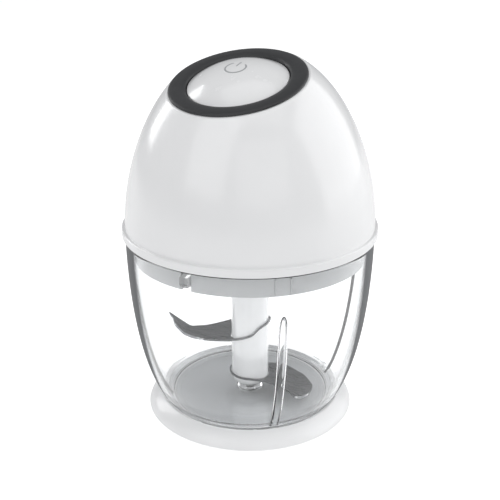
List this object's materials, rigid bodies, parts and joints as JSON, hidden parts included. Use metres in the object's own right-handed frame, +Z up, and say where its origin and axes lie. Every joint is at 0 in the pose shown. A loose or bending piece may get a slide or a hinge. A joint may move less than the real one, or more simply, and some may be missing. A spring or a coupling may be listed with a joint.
{
  "type": "mini food processor",
  "caption": "Egg-shaped cordless mini food processor: clear bowl on a flared foot, winged steel cutter and a lift-off motor head with a leaning power button.",
  "frame": {"origin": "centre of the surface that the anti-slip ring stands on", "axes": "+Z up along the bowl's axis, -Y to the front, where the power button leans, +X to the right"},
  "size_m": [0.132, 0.132, 0.1898],
  "materials": {
    "white_abs": "glossy moulded shell",
    "soft_white": "satin soft-touch moulding",
    "grey_abs": "satin moulding",
    "dark_grey_abs": "fine matt moulding",
    "clear_polycarbonate": "polished, see-through",
    "grey_elastomer": "matt elastomer",
    "steel": "brushed stainless",
    "bronze": "sintered bronze",
    "nylon": "black moulding",
    "acetal": "natural moulding",
    "board": "solder-masked laminate",
    "cell_wrap": "shrink wrap",
    "red_insulation": "wire insulation",
    "black_insulation": "wire insulation"
  },
  "bodies": {
    "foot": {"base_foot": "soft_white", "base_pad": "grey_elastomer", "anti_slip_ring": "grey_elastomer"},
    "bowl": {"bowl": "clear_polycarbonate", "pivot_pin": "steel"},
    "washer": {"thrust_washer": "acetal"},
    "cutter": {"blade_hub": "white_abs", "hub_bush": "bronze", "drive_socket": "acetal", "upper_blade": "steel", "lower_blade": "steel"},
    "head": {"motor_base_cover": "grey_abs", "head_shell": "white_abs", "trim_ring": "dark_grey_abs", "bowl_seal": "soft_white", "button_bracket": "grey_abs", "control_board": "board", "tact_switch": "nylon", "gearbox_housing": "acetal", "gearbox_lid": "nylon", "output_bearing": "bronze", "shaft_seal": "grey_elastomer", "motor_can": "steel", "motor_end_cap": "nylon", "motor_screw_1": "steel", "motor_screw_2": "steel", "gearbox_screw_1": "steel", "gearbox_screw_2": "steel", "gearbox_screw_3": "steel", "cover_screw_1": "steel", "cover_screw_2": "steel", "cover_screw_3": "steel", "cover_screw_4": "steel", "battery_cell_left": "cell_wrap", "battery_cell_right": "cell_wrap", "battery_cup_left": "nylon", "battery_cup_right": "nylon", "battery_lead_left": "black_insulation", "battery_lead_right": "red_insulation", "motor_lead_left": "black_insulation", "motor_lead_right": "red_insulation", "interlock_switch": "nylon", "charge_board": "board", "charge_socket": "steel"},
    "button": {"power_button": "white_abs"},
    "plunger": {"interlock_plunger": "acetal", "interlock_spring": "steel"},
    "flap": {"port_flap": "soft_white"},
    "rotor": {"motor_rotor": "steel", "sun_gear": "bronze"},
    "carrier": {"planet_carrier": "steel", "drive_coupling": "nylon"},
    "planet_1": {"planet_gear_1": "steel"},
    "planet_2": {"planet_gear_2": "steel"},
    "planet_3": {"planet_gear_3": "steel"}
  },
  "joints": [
    {"name": "bowl_lift", "type": "slide", "parent": "foot", "child": "bowl", "axis": [0, 0, 1], "range_m": [0, 0.03]},
    {"name": "cutter_lift", "type": "slide", "parent": "bowl", "child": "washer", "axis": [0, 0, 1], "range_m": [0, 0.1]},
    {"name": "head_lift", "type": "slide", "parent": "washer", "child": "head", "axis": [0, 0, 1], "range_m": [0, 0.08]},
    {"name": "blade_spin", "type": "hinge", "parent": "washer", "child": "cutter", "pos_m": [0, 0, 0.05], "axis": [0, 0, 1], "continuous": true},
    {"name": "output_spin", "type": "hinge", "parent": "head", "child": "carrier", "pos_m": [0, 0, 0.1], "axis": [0, 0, 1], "continuous": true},
    {"name": "motor_spin", "type": "hinge", "parent": "head", "child": "rotor", "pos_m": [0, 0, 0.136], "axis": [0, 0, 1], "continuous": true},
    {"name": "planet_1_spin", "type": "hinge", "parent": "carrier", "child": "planet_1", "pos_m": [0, 0.01125, 0.111], "axis": [0, 0, 1], "continuous": true},
    {"name": "planet_2_spin", "type": "hinge", "parent": "carrier", "child": "planet_2", "pos_m": [-0.00974, -0.00562, 0.111], "axis": [0, 0, 1], "continuous": true},
    {"name": "planet_3_spin", "type": "hinge", "parent": "carrier", "child": "planet_3", "pos_m": [0.00974, -0.00562, 0.111], "axis": [0, 0, 1], "continuous": true},
    {"name": "power_press", "type": "slide", "parent": "head", "child": "button", "axis": [0, 0.289, -0.9573], "range_m": [0, 0.002], "stiffness_N_per_m": 1200, "springref_m": -0.001},
    {"name": "interlock_press", "type": "slide", "parent": "head", "child": "plunger", "axis": [0, 0, 1], "range_m": [0, 0.0025], "stiffness_N_per_m": 250, "springref_m": -0.002, "deforming": ["interlock_spring"]},
    {"name": "port_flap_hinge", "type": "hinge", "parent": "head", "child": "flap", "pos_m": [0, 0.06366, 0.1169], "axis": [1, 0, 0], "range_deg": [0, 110]}
  ],
  "couplings": [
    {"joint": "output_spin", "follows": "blade_spin", "ratio": 1},
    {"joint": "motor_spin", "follows": "blade_spin", "ratio": 5},
    {"joint": "planet_1_spin", "follows": "blade_spin", "ratio": -2.6667},
    {"joint": "planet_2_spin", "follows": "blade_spin", "ratio": -2.6667},
    {"joint": "planet_3_spin", "follows": "blade_spin", "ratio": -2.6667}
  ]
}
